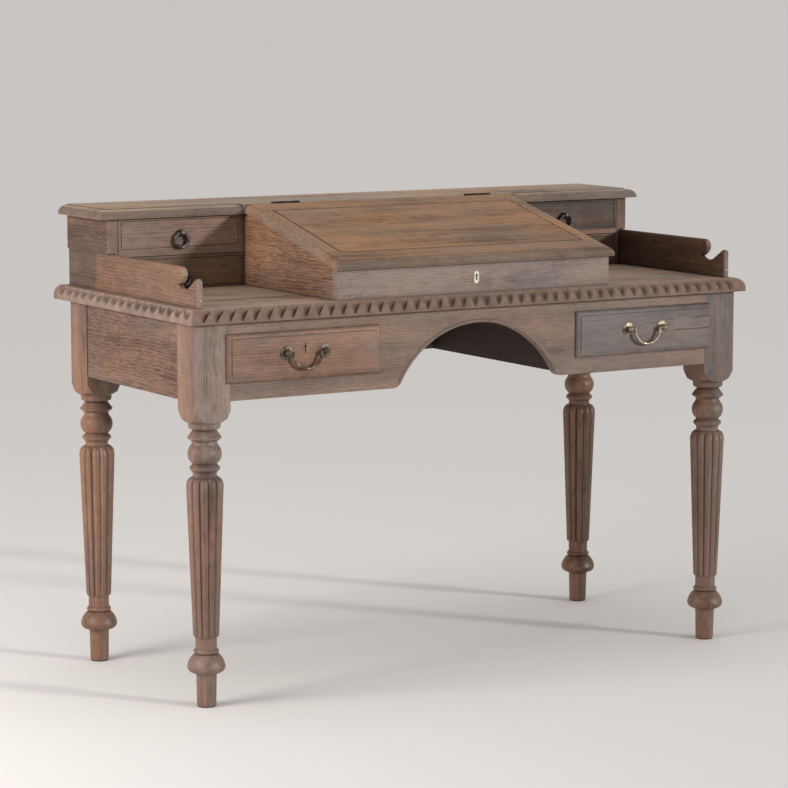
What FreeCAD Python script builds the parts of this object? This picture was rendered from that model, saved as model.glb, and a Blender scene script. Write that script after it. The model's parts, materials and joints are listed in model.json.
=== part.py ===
"""Study table: a writing desk with a sloping lid, a gallery, six drawers and turned, reeded legs.

Millimetres. +Z is up, the front faces -Y, left is -X. The origin is on the floor, in the middle of the plan.
"""
import FreeCAD
import Part
import math
import os
from FreeCAD import Vector

# Writing top
top_width = 1300.0
top_depth = 609.0
top_height = 770.0
top_thickness = 27.5
edge_band = 4.0
edge_inset = 16.0

# Legs: a square post over one long turning, all from the same square
post_size = 74.0
leg_inset_side = 17.0
leg_inset_front = 18.0
leg_inset_back = 44.0
turning_height = 586.0
reed_count = 12

# Aprons under the top
apron_height = 149.5
apron_thickness = 18.0
apron_setback = 1.5
arch_half_span = 186.0
arch_rise = 119.0
arch_corner_radius = 20.0
bead_width = 7.0
bead_height = 2.5
partition_thickness = 18.0
partition_margin = 1.0

# Front drawers, with a lip that covers the opening's edge
opening_from_arch = 55.0
opening_height = 75.0
opening_above_apron = 43.0
drawer_lip = 9.5
lip_thickness = 8.0
lip_flat = 2.0
lip_moulding = 10.0
lip_quirk = 1.6
drawer_behind = 47.5
drawer_side = 12.0
drawer_floor = 6.0
drawer_floor_rise = 6.0
drawer_groove = 4.0
drawer_back_drop = 5.0
runner_width = 24.0
runner_height = 24.0

# Upper case of small drawers
case_depth = 185.0
case_inset_side = 22.0
case_inset_back = 22.0
case_end_thickness = 24.5
case_end_lap = 8.0
case_back_thickness = 12.0
lower_bay = 68.5
shelf_thickness = 10.0
upper_bay = 67.5
lid_side_strip = 8.0
small_front = 16.0
small_wall = 9.0
small_floor = 6.0
small_depth = 158.0
score_inset = 5.0
score_width = 1.6
score_depth = 1.4

# Top board of the case
board_thickness = 20.0
board_overhang_side = 20.0
board_overhang_front = 13.5
board_flat = 3.0
board_moulding = 20.0
board_quirk = 2.0

# Gallery boards at the two ends
gallery_height = 76.0
gallery_thickness = 13.0
gallery_inset_front = 24.0

# Sloping box
slope_half_width = 319.5
slope_inset_front = 28.0
slope_front_height = 62.0
slope_board = 17.0
lid_thickness = 17.0
lid_overhang_side = 7.0
lid_overhang_front = 14.5
lid_stile = 48.0
lid_front_rail = 66.0
lid_back_rail = 54.0
lid_flat = 3.0
lid_moulding = 13.0
lid_quirk = 1.5
panel_thickness = 10.0
panel_rebate = 8.0
lid_gap = 1.2

# Butt hinges of the lid
hinge_inset = 94.5
hinge_length = 64.0
hinge_leaf_height = 14.0
hinge_leaf_thickness = 1.5
hinge_leaf_gap = 0.6
knuckle_radius = 3.0
knuckle_gap = 0.4
hinge_pin_radius = 1.3

# Keyhole plates and the lock of the slope
slope_plate_width = 11.5
slope_plate_height = 25.0
drawer_plate_width = 9.0
drawer_plate_height = 21.0
drawer_plate_rise = 13.0
plate_thickness = 1.6
plate_stand = 0.3
keyhole_radius = 2.3
keyhole_slot = 2.6
lock_width = 56.0
lock_height = 36.0
lock_depth = 10.0

# Bail handles
handle_centres = 84.0
handle_rise = 5.0
rose_radius = 13.5
rose_rim = 0.8
rose_crown = 2.6
neck_radius = 4.2
knob_radius = 7.0
knob_stand = 9.5
bail_radius = 31.5
bail_wire = 2.9
bail_end_ball = 3.2
bail_pin_radius = 1.6
bail_pin_reach = 3.0
shank_radius = 3.0
rivet_radius = 5.5
rivet_height = 2.5

# Ring pulls
ring_radius = 14.5
ring_wire = 3.4
ring_margin = 1.5
eye_stand = 6.5
eye_radius = 6.2
eye_width = 5.0
eye_bore = 3.95
pull_rose_radius = 7.5
pull_rose_thickness = 1.5
pull_shank_radius = 2.0
pull_rivet_radius = 4.0
pull_rivet_height = 2.0

# Fits
drawer_gap = 0.8
runner_gap = 0.3
rest_gap = 0.2
pin_gap = 0.05
recess_gap = 0.4
hole_gap = 0.2
overrun = 5.0

# Shares: where a convex moulding bulges, from its outer foot to its inner head
bow_shares = (0.29, 0.71)

# Turning of a leg below its reeds and above them: shares of half the post and of the turning's height.
# A pair of points is an arc, through the first and to the second.
foot_shares = [
    (0.446, 0.0), (0.50, 0.005), (0.535, 0.106), (0.649, 0.115),
    ((0.973, 0.127), (0.981, 0.1416)), ((0.878, 0.1587), (0.643, 0.1758)),
    (0.584, 0.178), (0.655, 0.1812), (0.668, 0.1863), (0.625, 0.1915), (0.559, 0.194), (0.559, 0.2329),
]
head_shares = [
    (0.620, 0.7625), (0.620, 0.7765), (0.784, 0.788), (0.790, 0.794), (0.619, 0.8055),
    ((0.881, 0.8328), (0.762, 0.8626)), ((0.681, 0.8712), (0.654, 0.878)), (0.724, 0.8823),
    (0.886, 0.890), (0.886, 0.8934), (0.603, 0.9172), (0.784, 0.9215), (0.842, 0.926), (0.842, 0.937),
    (0.851, 0.9394), (1.184, 0.9517), (1.43, 0.9828),
]

# Reeded shaft between them, from the foot up: where the reeds' tips lie, and how deep the valleys are
reed_shares = [
    (0.640, 0.2329), (0.668, 0.2362), (0.681, 0.2423), (0.968, 0.7338),
    (0.928, 0.7480), (0.840, 0.7570), (0.700, 0.7625),
]
reed_valley_share = 0.865

# Scrolled front end of a gallery board, both ways in shares of its height, from its front foot
scroll_shares = [
    (0.0, 0.62), ((0.05, 0.745), (0.17, 0.735)), (0.47, 0.547), ((0.78, 0.445), (1.05, 0.535)),
    ((0.86, 0.645), (0.775, 0.79)), ((0.8365, 0.9385), (0.985, 1.0)),
]

# Key levels and planes that the pieces share
X_AXIS = Vector(1, 0, 0)
Y_AXIS = Vector(0, 1, 0)
Z_AXIS = Vector(0, 0, 1)
handle_reach = knob_stand + knob_radius
handle_lead = max(0.0, lip_thickness + handle_reach - leg_inset_front)
half_top = top_width / 2
top_back = (top_depth + handle_lead) / 2
top_front = top_back - top_depth
under_top = top_height - top_thickness
post_outer = half_top - leg_inset_side
post_inner = post_outer - post_size
face_front = top_front + leg_inset_front
face_back = top_back - leg_inset_back
apron_foot = under_top - apron_height
apron_back = face_front + apron_thickness
back_apron_front = face_back - apron_setback - apron_thickness
opening_outer = post_inner
opening_inner = arch_half_span + opening_from_arch
opening_foot = apron_foot + opening_above_apron
opening_head = opening_foot + opening_height
partition_outer = opening_inner - partition_margin
drawer_face = face_front - lip_thickness
drawer_middle = (opening_inner + opening_outer) / 2
drawer_rear = back_apron_front - drawer_behind
handle_level = opening_foot + opening_height / 2 + handle_rise
bail_axis_y = drawer_face - knob_stand
case_outer = half_top - case_inset_side
case_inner = case_outer - case_end_thickness
case_rear = top_back - case_inset_back
case_front = case_rear - case_depth
back_face = case_rear - case_back_thickness
shelf_foot = top_height + lower_bay
shelf_head = shelf_foot + shelf_thickness
case_head = shelf_head + upper_bay
board_top = case_head + board_thickness
board_front = case_front - board_overhang_front
gallery_seat = case_inner + case_end_lap
gallery_front = top_front + gallery_inset_front
gallery_top = top_height + gallery_height
slope_face = top_front + slope_inset_front
slope_inside = slope_half_width - slope_board
lid_half = slope_half_width + lid_overhang_side
lid_tip = slope_face - lid_overhang_front
hinge_x = lid_half - hinge_inset
hinge_y = board_front - lid_gap / 2
hinge_z = board_top

# Slope of the lid: its top reaches the hinge when its underside lies on the front board's upper edge
slope_run = hinge_y - slope_face
slope_rise = hinge_z - (top_height + slope_front_height + rest_gap)
slope_chord = math.hypot(slope_run, slope_rise)
slope_angle = math.acos(lid_thickness / slope_chord) - math.atan2(slope_run, slope_rise)


def box(x_low, x_high, y_low, y_high, z_low, z_high):
    """Board between six planes."""
    return Part.makeBox(x_high - x_low, y_high - y_low, z_high - z_low, Vector(x_low, y_low, z_low))


def mirrored(shape):
    """The same piece on the other side of the desk."""
    return shape.mirror(Vector(0, 0, 0), X_AXIS)


def outline(path, to_space):
    """Closed face through points; a pair of points is an arc, through the first and to the second."""
    edges = []
    here = path[0]
    for step in path[1:] + path[:1]:
        if isinstance(step[0], tuple):
            through, end = step
            edges.append(Part.Arc(to_space(here), to_space(through), to_space(end)).toShape())
        else:
            end = step
            edges.append(Part.makeLine(to_space(here), to_space(end)))
        here = end
    return Part.Face(Part.Wire(edges))


def from_shares(shares, unit_across, unit_up, start_across, start_up):
    """Path in millimetres from a table of shares; a pair stays a pair."""
    path = []
    for step in shares:
        pair = step if isinstance(step[0], tuple) else (step,)
        points = [(start_across + unit_across * a, start_up + unit_up * b) for a, b in pair]
        path.append(tuple(points) if len(points) > 1 else points[0])
    return path


def in_side_view(x):
    """Places (y, z) points on an upright plane across the desk."""
    return lambda p: Vector(x, p[0], p[1])


def in_front_view(y):
    """Places (x, z) points on an upright plane along the desk."""
    return lambda p: Vector(p[0], y, p[1])


def moulding_section(inset, flat, height, quirk):
    """What a plane takes off an edge: a convex curve over a flat, with a small step at its head."""
    rise = height - quirk - flat
    bulge = (inset * bow_shares[0], flat + rise * bow_shares[1])
    return [
        (0, flat), (bulge, (inset, height - quirk)), (inset, height + overrun),
        (-overrun, height + overrun), (-overrun, flat),
    ]


def mould(board, section, corner, along_u, along_v, normal, sides):
    """Runs one moulding along the named sides of a rectangular face."""
    unit_u = Vector(along_u).normalize()
    unit_v = Vector(along_v).normalize()
    runs = {
        "near": (corner, along_u, unit_u, unit_v),
        "far": (corner + along_v, along_u, unit_u, -unit_v),
        "left": (corner, along_v, unit_v, unit_u),
        "right": (corner + along_u, along_v, unit_v, -unit_u),
    }
    for side in sides:
        start, run, unit, inward = runs[side]
        foot = start - unit * overrun
        face = outline(section, lambda p: foot + inward * p[0] + normal * p[1])
        board = board.cut(face.extrude(run + unit * (2 * overrun)))
    return board


def reed_ring(tip, z):
    """Closed wire of convex reeds round the leg's axis."""
    half_step = math.pi / reed_count
    arcs = []
    for reed in range(reed_count):
        points = []
        for step, share in ((-1, reed_valley_share), (0, 1), (1, reed_valley_share)):
            turn = (2 * reed + step) * half_step
            points.append(Vector(math.cos(turn), math.sin(turn), 0) * (tip * share) + Z_AXIS * z)
        arcs.append(Part.Arc(*points).toShape())
    return Part.Wire(arcs)


def turned(shares, z_top):
    """Solid of revolution on the Z axis from a table of shares, carried up to a level."""
    path = [(0.0, turning_height * shares[0][1])]
    path += from_shares(shares, post_size / 2, turning_height, 0.0, 0.0)
    last = path[-1]
    if isinstance(last[0], tuple):
        last = last[1]
    if z_top > last[1]:
        path.append((last[0], z_top))
    path.append((0.0, z_top))
    return outline(path, lambda p: Vector(p[0], 0, p[1])).revolve(Vector(0, 0, 0), Z_AXIS, 360)


def make_leg():
    """One leg on the Z axis: turned foot, reeded shaft, and a turned head that runs into the square post."""
    half = post_size / 2
    rings = [reed_ring(half * tip, turning_height * z) for tip, z in reed_shares]
    shaft = Part.makeLoft(rings, True, True)
    foot = turned(foot_shares, turning_height * foot_shares[-1][1])
    head = turned(head_shares, under_top).common(box(-half, half, -half, half, 0, under_top))
    return foot.fuse(shaft).fuse(head)


def arch_geometry():
    """Centre height and radius of the arch, and the centre of its rounded corner on the right."""
    radius = (arch_half_span ** 2 + arch_rise ** 2) / (2 * arch_rise)
    centre = apron_foot + arch_rise - radius
    corner_z = apron_foot + arch_corner_radius
    corner_x = math.sqrt((radius + arch_corner_radius) ** 2 - (corner_z - centre) ** 2)
    return radius, centre, corner_x, corner_z


def make_front_apron():
    """Arched board in the middle, with a rail above and below each drawer between it and the posts."""
    radius, centre, corner_x, corner_z = arch_geometry()
    reach = radius / (radius + arch_corner_radius)
    touch_x = corner_x * reach
    touch_z = centre + (corner_z - centre) * reach
    lean = Vector(-corner_x, 0, centre - corner_z).normalize() - Z_AXIS
    lean.normalize()
    round_x = corner_x + lean.x * arch_corner_radius
    round_z = corner_z + lean.z * arch_corner_radius
    path = [
        (-opening_inner, apron_foot), (-corner_x, apron_foot),
        ((-round_x, round_z), (-touch_x, touch_z)), ((0, apron_foot + arch_rise), (touch_x, touch_z)),
        ((round_x, round_z), (corner_x, apron_foot)), (opening_inner, apron_foot),
        (opening_inner, under_top), (-opening_inner, under_top),
    ]
    solids = [outline(path, in_front_view(face_front)).extrude(Y_AXIS * apron_thickness)]
    for low, high in ((apron_foot, opening_foot), (opening_head, under_top)):
        rail = box(opening_inner, opening_outer, face_front, apron_back, low, high)
        solids += [rail, mirrored(rail)]
    return Part.makeCompound(solids)


def make_arch_bead():
    """Half-round bead bent along the arch, nailed to the apron's face."""
    radius, centre, corner_x, corner_z = arch_geometry()
    sweep = math.degrees(math.atan2(corner_x, corner_z - centre))
    section = [(radius, 0.0), ((radius + bead_width / 2, bead_height), (radius + bead_width, 0.0))]
    face = outline(section, lambda p: Vector(0, face_front - p[1], centre + p[0]))
    pivot = Vector(0, face_front, centre)
    face.rotate(pivot, Y_AXIS, -sweep)
    return face.revolve(pivot, Y_AXIS, 2 * sweep)


def make_runner(x_low, z_low, z_high):
    """Strip from the front apron to the back one, beside a drawer."""
    return box(x_low, x_low + runner_width, apron_back, back_apron_front, z_low, z_high)


def make_runners():
    """Two strips under each drawer, at the post and at the partition."""
    top = opening_foot + drawer_gap - runner_gap
    kicker_foot = opening_head - drawer_gap + runner_gap
    right = []
    for x in (opening_outer - runner_width, partition_outer):
        right.append(make_runner(x, top - runner_height, top))
        right.append(make_runner(x, kicker_foot, under_top))
    return Part.makeCompound(right + [mirrored(strip) for strip in right])


def make_desk_top():
    """Thick writing top; its front and two ends are rounded over above a plain band."""
    slab = box(-half_top, half_top, top_front, top_back, under_top, top_height)
    section = moulding_section(edge_inset, edge_band, top_thickness, 0.0)
    corner = Vector(-half_top, top_front, under_top)
    sides = ("near", "left", "right")
    return mould(slab, section, corner, X_AXIS * top_width, Y_AXIS * top_depth, Z_AXIS, sides)


def make_gallery():
    """Right gallery board; its front end is sawn to a scroll."""
    path = [(case_rear, top_height), (gallery_front, top_height)]
    path += from_shares(scroll_shares, gallery_height, gallery_height, gallery_front, top_height)
    path.append((case_rear, gallery_top))
    return outline(path, in_side_view(gallery_seat)).extrude(X_AXIS * gallery_thickness)


def make_case_end():
    """Right end of the case; outside, its lower part is rebated to take the gallery board."""
    path = [
        (case_inner, top_height), (gallery_seat, top_height), (gallery_seat, gallery_top),
        (case_outer, gallery_top), (case_outer, case_head), (case_inner, case_head),
    ]
    return outline(path, in_front_view(case_front)).extrude(Y_AXIS * case_depth)


def make_case_top():
    """Top board of the case, moulded at both ends and at the front beside the lid."""
    half = case_outer + board_overhang_side
    board = box(-half, half, board_front, case_rear, case_head, board_top)
    section = moulding_section(board_moulding, board_flat, board_thickness, board_quirk)
    corner = Vector(-half, board_front, case_head)
    depth = Y_AXIS * (case_rear - board_front)
    board = mould(board, section, corner, X_AXIS * (2 * half), depth, Z_AXIS, ("left", "right"))
    beside_lid = half - lid_half - lid_gap
    for start in (-half - overrun, lid_half + lid_gap):
        face = outline(section, lambda p: Vector(start, board_front + p[0], case_head + p[1]))
        board = board.cut(face.extrude(X_AXIS * (beside_lid + overrun)))
    for cutter in hinge_recesses():
        board = board.cut(cutter)
    return board


def make_shelves():
    """Thin shelf under each upper drawer, and the strip that keeps the drawer clear of the lid's edge."""
    shelf = box(slope_half_width, case_inner, case_front, back_face, shelf_foot, shelf_head)
    strip_end = slope_half_width + lid_side_strip
    strip = box(slope_half_width, strip_end, case_front, back_face, shelf_head, case_head)
    return Part.makeCompound([shelf, strip, mirrored(shelf), mirrored(strip)])


def slope_height(y):
    """Level of the plane that the lid lies on."""
    return top_height + slope_front_height + (y - slope_face) * math.tan(slope_angle)


def make_slope_front():
    """Front board of the sloping box, planed to the slope, with the keyhole plate let in."""
    inside = slope_face + slope_board
    path = [
        (slope_face, top_height), (slope_face, slope_height(slope_face)),
        (inside, slope_height(inside)), (inside, top_height),
    ]
    board = outline(path, in_side_view(-slope_half_width)).extrude(X_AXIS * (2 * slope_half_width))
    level = top_height + slope_front_height / 2
    recess = plate_blank(0.0, level, slope_face, slope_plate_width, slope_plate_height)
    return board.cut(recess).cut(keyhole(0.0, level, slope_face, slope_plate_height, slope_board))


def make_slope_side():
    """Right side of the sloping box; it runs on under the top board to the back of the case."""
    inside = slope_face + slope_board
    bend = inside + (case_head - slope_height(inside)) / math.tan(slope_angle)
    path = [
        (inside, top_height), (inside, slope_height(inside)), (bend, case_head),
        (back_face, case_head), (back_face, top_height),
    ]
    return outline(path, in_side_view(slope_inside)).extrude(X_AXIS * slope_board)


def plate_blank(x, z, face, width, height):
    """Round-ended plate on an upright face, sunk in all but a little."""
    half = width / 2
    straight = height / 2 - half
    path = [
        (x - half, z - straight), ((x, z - height / 2), (x + half, z - straight)),
        (x + half, z + straight), ((x, z + height / 2), (x - half, z + straight)),
    ]
    return outline(path, in_front_view(face - plate_stand)).extrude(Y_AXIS * plate_thickness)


def keyhole(x, z, face, height, depth):
    """Cutter for a keyhole: a round head over a slot."""
    head = z + height / 6
    foot = z - height / 4
    start = face - plate_stand - overrun
    length = depth + plate_stand + 2 * overrun
    hole = Part.makeCylinder(keyhole_radius, length, Vector(x, start, head), Y_AXIS)
    half = keyhole_slot / 2
    return hole.fuse(box(x - half, x + half, start, start + length, foot, head))


def make_plate(x, z, face, width, height):
    """Keyhole plate."""
    return plate_blank(x, z, face, width, height).cut(keyhole(x, z, face, height, plate_thickness))


def make_slope_lock():
    """Closed box of the lock, screwed to the back of the front board."""
    inside = slope_face + slope_board
    level = top_height + slope_front_height / 2
    half = lock_width / 2
    return box(-half, half, inside, inside + lock_depth, level - lock_height / 2, level + lock_height / 2)


def hinge_recesses():
    """Cutters that let both hinges into the lid and the top board."""
    cutters = []
    half = hinge_length / 2
    out = hinge_leaf_gap / 2 + hinge_leaf_thickness
    radius = knuckle_radius + recess_gap
    for middle in (-hinge_x, hinge_x):
        start = middle - half
        foot = hinge_z - hinge_leaf_height
        cutters.append(box(start, start + hinge_length, hinge_y - out, hinge_y + out, foot, hinge_z))
        barrel = Vector(start - recess_gap, hinge_y, hinge_z)
        cutters.append(Part.makeCylinder(radius, hinge_length + 2 * recess_gap, barrel, X_AXIS))
    return cutters


def make_leaf(middle, side, knuckles):
    """Hinge leaf on one side of the joint, with its own knuckles round the pin."""
    start = middle - hinge_length / 2
    near = hinge_y + side * hinge_leaf_gap / 2
    far = near + side * hinge_leaf_thickness
    low, high = min(near, far), max(near, far)
    shoulder = hinge_z - knuckle_radius - knuckle_gap
    leaf = box(start, start + hinge_length, low, high, hinge_z - hinge_leaf_height, shoulder)
    pitch = hinge_length / 3
    for index in knuckles:
        left = start + pitch * index + knuckle_gap / 2
        length = pitch - knuckle_gap
        leaf = leaf.fuse(box(left, left + length, low, high, shoulder, hinge_z))
        leaf = leaf.fuse(Part.makeCylinder(knuckle_radius, length, Vector(left, hinge_y, hinge_z), X_AXIS))
    pin_start = Vector(start, hinge_y, hinge_z)
    bore = Part.makeCylinder(hinge_pin_radius + pin_gap, hinge_length, pin_start, X_AXIS)
    return leaf.cut(bore).removeSplitter()


def make_case_leaves():
    """Leaves on the top board, each with its pin through the end knuckles."""
    solids = []
    for middle in (-hinge_x, hinge_x):
        solids.append(make_leaf(middle, 1, (0, 2)))
        start = Vector(middle - hinge_length / 2, hinge_y, hinge_z)
        solids.append(Part.makeCylinder(hinge_pin_radius, hinge_length, start, X_AXIS))
    return Part.makeCompound(solids)


def make_lid_leaves():
    """Leaves on the lid, with the middle knuckles."""
    return Part.makeCompound([make_leaf(middle, -1, (1,)) for middle in (-hinge_x, hinge_x)])


def make_lid():
    """Frame and flush panel, made flat with the hinge on the X axis, then laid on the slope."""
    length = (hinge_y - lid_tip) / math.cos(slope_angle)
    inner = lid_half - lid_stile
    front = -length
    inner_front = front + lid_front_rail
    inner_back = -lid_back_rail
    back = lid_thickness
    section = moulding_section(lid_moulding, lid_flat, lid_thickness, lid_quirk)
    corner = Vector(-lid_half, front, -lid_thickness)
    seat = box(
        -inner - panel_rebate, inner + panel_rebate, inner_front - panel_rebate, inner_back + panel_rebate,
        -panel_thickness, overrun,
    )
    bars = {
        "lid_rail_front": (-lid_half, lid_half, front, inner_front, ("near", "left", "right")),
        "lid_rail_back": (-lid_half, lid_half, inner_back, back, ("left", "right")),
        "lid_stile_left": (-lid_half, -inner, inner_front, inner_back, ("left",)),
        "lid_stile_right": (inner, lid_half, inner_front, inner_back, ("right",)),
    }
    pieces = {}
    for name, (x_low, x_high, y_low, y_high, sides) in bars.items():
        bar = box(x_low, x_high, y_low, y_high, -lid_thickness, 0)
        bar = mould(bar, section, corner, X_AXIS * (2 * lid_half), Y_AXIS * (back - front), Z_AXIS, sides)
        pieces[name] = bar.cut(seat)
    edge = panel_rebate - rest_gap
    pieces["lid_panel"] = box(
        -inner - edge, inner + edge, inner_front - edge, inner_back + edge, -panel_thickness, 0
    )
    behind = box(-half_top, half_top, hinge_y - lid_gap / 2, top_back, top_height, board_top + lid_thickness)
    for name, bar in pieces.items():
        bar.rotate(Vector(0, 0, 0), X_AXIS, math.degrees(slope_angle))
        bar.translate(Vector(0, hinge_y, hinge_z))
        pieces[name] = bar.cut(behind)
    for cutter in hinge_recesses():
        pieces["lid_rail_back"] = pieces["lid_rail_back"].cut(cutter)
    return pieces


def make_front_drawer():
    """Right front drawer: lipped front, grooved sides, back, and a floor slid into the grooves."""
    left = opening_inner + drawer_gap
    right = opening_outer - drawer_gap
    foot = opening_foot + drawer_gap
    head = opening_head - drawer_gap
    corner = Vector(opening_inner - drawer_lip, face_front, opening_foot - drawer_lip)
    lip_width = opening_outer - opening_inner + 2 * drawer_lip
    lip_height = opening_height + 2 * drawer_lip
    lip = box(corner.x, corner.x + lip_width, drawer_face, face_front, corner.z, corner.z + lip_height)
    section = moulding_section(lip_moulding, lip_flat, lip_thickness, lip_quirk)
    sides = ("near", "far", "left", "right")
    lip = mould(lip, section, corner, X_AXIS * lip_width, Z_AXIS * lip_height, -Y_AXIS, sides)
    floor_low = foot + drawer_floor_rise
    floor_high = floor_low + drawer_floor
    floor_left = left + drawer_side - drawer_groove
    floor_right = right - drawer_side + drawer_groove
    floor = box(floor_left, floor_right, apron_back - drawer_groove, drawer_rear, floor_low, floor_high)
    front = lip.fuse(box(left, right, face_front, apron_back, foot, head)).removeSplitter().cut(floor)
    for post in handle_places():
        start = Vector(post, drawer_face, handle_level)
        hole = Part.makeCylinder(shank_radius + hole_gap, apron_back - drawer_face, start, Y_AXIS)
        front = front.cut(hole)
    side_left = box(left, left + drawer_side, apron_back, drawer_rear, foot, head).cut(floor)
    side_right = box(right - drawer_side, right, apron_back, drawer_rear, foot, head).cut(floor)
    back_front = drawer_rear - drawer_side
    back_head = head - drawer_back_drop
    back = box(left + drawer_side, right - drawer_side, back_front, drawer_rear, floor_high, back_head)
    walls = Part.makeCompound([side_left, side_right])
    return {"front": front, "sides": walls, "back": back, "bottom": floor}


def handle_places():
    """Where the two posts of the right drawer's handle stand."""
    return (drawer_middle - handle_centres / 2, drawer_middle + handle_centres / 2)


def make_handle_post(x, inward):
    """Turned post: a dished rose, a neck and a round knob, riveted through the drawer front."""
    waist = knob_stand - math.sqrt(knob_radius ** 2 - neck_radius ** 2)
    mid_rose = ((rose_radius + neck_radius) / 2, (rose_rim + rose_crown) / 2 + rose_rim / 2)
    path = [
        (0, 0), (rose_radius, 0), (rose_radius, rose_rim), (mid_rose, (neck_radius, rose_crown)),
        (neck_radius, waist), ((knob_radius, knob_stand), (0, knob_stand + knob_radius)),
    ]
    post = outline(path, lambda p: Vector(x + p[0], drawer_face - p[1], handle_level))
    post = post.revolve(Vector(x, drawer_face, handle_level), Y_AXIS, 360)
    through = apron_back - drawer_face
    post = post.fuse(Part.makeCylinder(shank_radius, through, Vector(x, drawer_face, handle_level), Y_AXIS))
    inside = Vector(x, apron_back, handle_level)
    post = post.fuse(Part.makeCylinder(rivet_radius, rivet_height, inside, Y_AXIS))
    reach = knob_radius + bail_pin_reach + pin_gap
    start = Vector(x + inward * knob_radius, bail_axis_y, handle_level)
    bore = Part.makeCylinder(bail_pin_radius + pin_gap, reach, start, X_AXIS * -inward)
    return post.cut(bore)


def make_bail():
    """Half ring with a ball at each end and a pin into each post."""
    centre = Vector(drawer_middle, bail_axis_y, handle_level)
    ring = Part.makeTorus(bail_radius, bail_wire, centre, Y_AXIS)
    span = bail_radius + bail_wire
    above = box(
        centre.x - span, centre.x + span, centre.y - bail_wire, centre.y + bail_wire,
        centre.z, centre.z + span,
    )
    bail = ring.cut(above)
    for side in (-1, 1):
        end = centre + X_AXIS * (side * bail_radius)
        reach = handle_centres / 2 - bail_radius + bail_pin_reach
        bail = bail.fuse(Part.makeSphere(bail_end_ball, end))
        bail = bail.fuse(Part.makeCylinder(bail_pin_radius, reach, end, X_AXIS * side))
    return bail


def small_drawers():
    """Low and high levels and inner end of the opening for each row of small drawers on the right."""
    strip_end = slope_half_width + lid_side_strip
    return {
        "lower": (slope_half_width, top_height, shelf_foot),
        "upper": (strip_end, shelf_head, case_head),
    }


def pull_place(row):
    """Middle of a small drawer and the level of its ring pull."""
    inner, low, high = small_drawers()[row]
    rise = 2 * ring_radius + ring_wire + ring_margin
    return (inner + case_inner) / 2, low + drawer_gap + rise


def make_small_drawer(row):
    """Right small drawer: flush front with a scored line, and its box."""
    inner, low, high = small_drawers()[row]
    left = inner + drawer_gap
    right = case_inner - drawer_gap
    foot = low + runner_gap
    head = high - drawer_gap
    inside = case_front + small_front
    rear = inside + small_depth - small_front
    front = box(left, right, case_front, inside, foot, head)
    outer_line = box(
        left + score_inset, right - score_inset, case_front - overrun, case_front + score_depth,
        foot + score_inset, head - score_inset,
    )
    line = score_inset + score_width
    inner_line = box(
        left + line, right - line, case_front - overrun, case_front + score_depth, foot + line, head - line
    )
    x, z = pull_place(row)
    hole = Part.makeCylinder(pull_shank_radius + hole_gap, small_front, Vector(x, case_front, z), Y_AXIS)
    front = front.cut(outer_line.cut(inner_line)).cut(hole)
    tray = box(left, right, inside, rear, foot, head)
    pocket = box(
        left + small_wall, right - small_wall, inside - overrun, rear - small_wall,
        foot + small_floor, head + overrun,
    )
    return front, tray.cut(pocket)


def make_pull_post(row):
    """Eye of a ring pull on a small round plate, riveted through the drawer front."""
    x, z = pull_place(row)
    face = Vector(x, case_front, z)
    post = Part.makeCylinder(pull_rose_radius, pull_rose_thickness, face, -Y_AXIS)
    eye_start = Vector(x - eye_width / 2, case_front - eye_stand, z)
    post = post.fuse(Part.makeCylinder(eye_radius, eye_width, eye_start, X_AXIS))
    post = post.fuse(Part.makeCylinder(pull_shank_radius, small_front, face, Y_AXIS))
    inside = Vector(x, case_front + small_front, z)
    post = post.fuse(Part.makeCylinder(pull_rivet_radius, pull_rivet_height, inside, Y_AXIS))
    return post.cut(Part.makeCylinder(eye_bore, eye_width, eye_start, X_AXIS)).removeSplitter()


def make_pull_ring(row):
    """Plain ring that hangs in the eye."""
    x, z = pull_place(row)
    return Part.makeTorus(ring_radius, ring_wire, Vector(x, case_front - eye_stand, z - ring_radius), Y_AXIS)


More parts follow.
